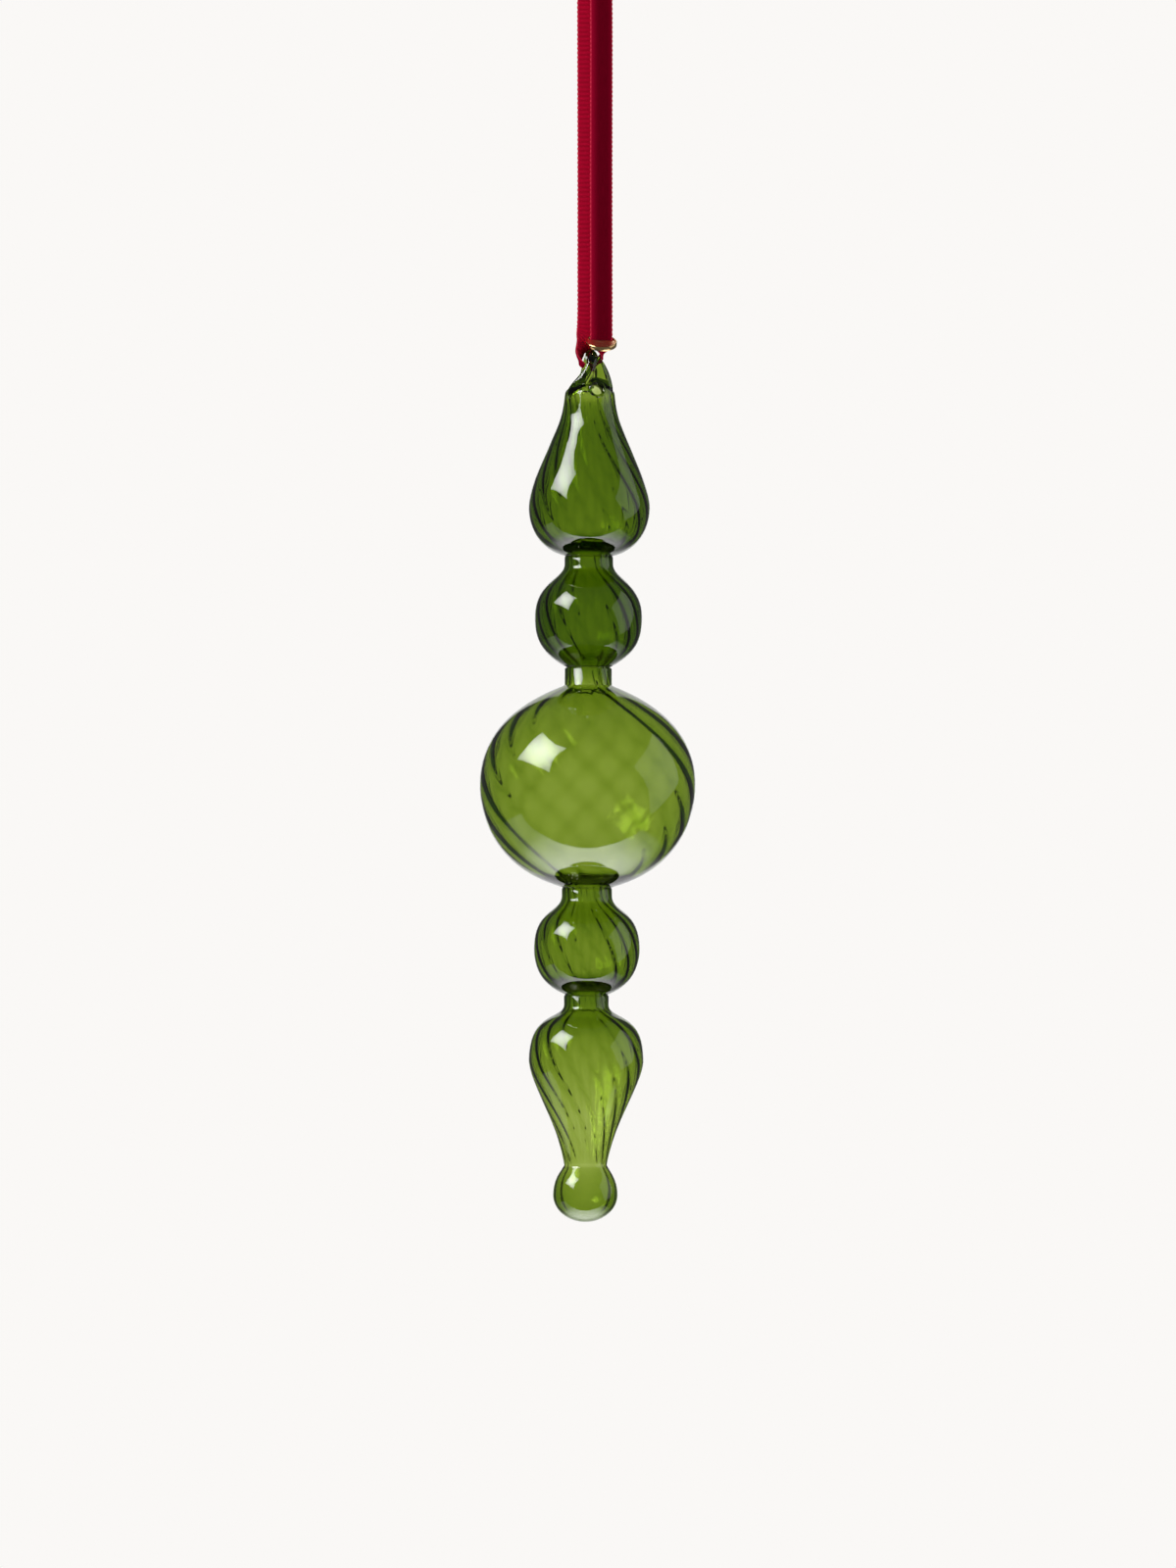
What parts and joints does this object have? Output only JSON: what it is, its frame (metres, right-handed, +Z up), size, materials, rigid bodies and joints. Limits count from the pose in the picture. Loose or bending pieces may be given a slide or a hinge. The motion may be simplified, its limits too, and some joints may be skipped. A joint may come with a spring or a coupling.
{
  "type": "christmas ornament",
  "caption": "Blown green glass finial ornament with twisted ribs, hanging by a glass eye on a velvet ribbon loop with a small metal slider.",
  "frame": {"origin": "the hanging point: the inside of the ribbon loop's crown, straight above the glass body's axis", "axes": "+Z up along the glass body's axis, -Y towards the front, where the vent hole and the slider's face are, +X to the right seen from the front"},
  "size_m": [0.0564, 0.0564, 0.3394],
  "materials": {
    "green_glass": "clear green blown glass with twisted optic ribs inside, fire polished",
    "red_velvet": "crimson velvet pile on the outer face, fine cross ribs on the inner face",
    "red_thread": "twisted sewing thread in the ribbon's colour",
    "gold_metal": "bright polished gold plate"
  },
  "bodies": {
    "ribbon": {"velvet_ribbon": "red_velvet", "lap_stitch_1": "red_thread", "lap_stitch_2": "red_thread", "lap_stitch_3": "red_thread", "lap_stitch_4": "red_thread"},
    "glass": {"glass_body": "green_glass", "hanging_eye": "green_glass"},
    "charm": {"charm_slider": "gold_metal"}
  },
  "joints": [
    {"name": "glass_swing", "type": "hinge", "parent": "ribbon", "child": "glass", "pos_m": [0, 0, -0.11155], "axis": [-0.2588, 0.9659, 0], "range_deg": [-25, 25]},
    {"name": "charm_slide", "type": "slide", "parent": "ribbon", "child": "charm", "axis": [-0.0057, -0.0125, 0.9999], "range_m": [0, 0.075]}
  ]
}
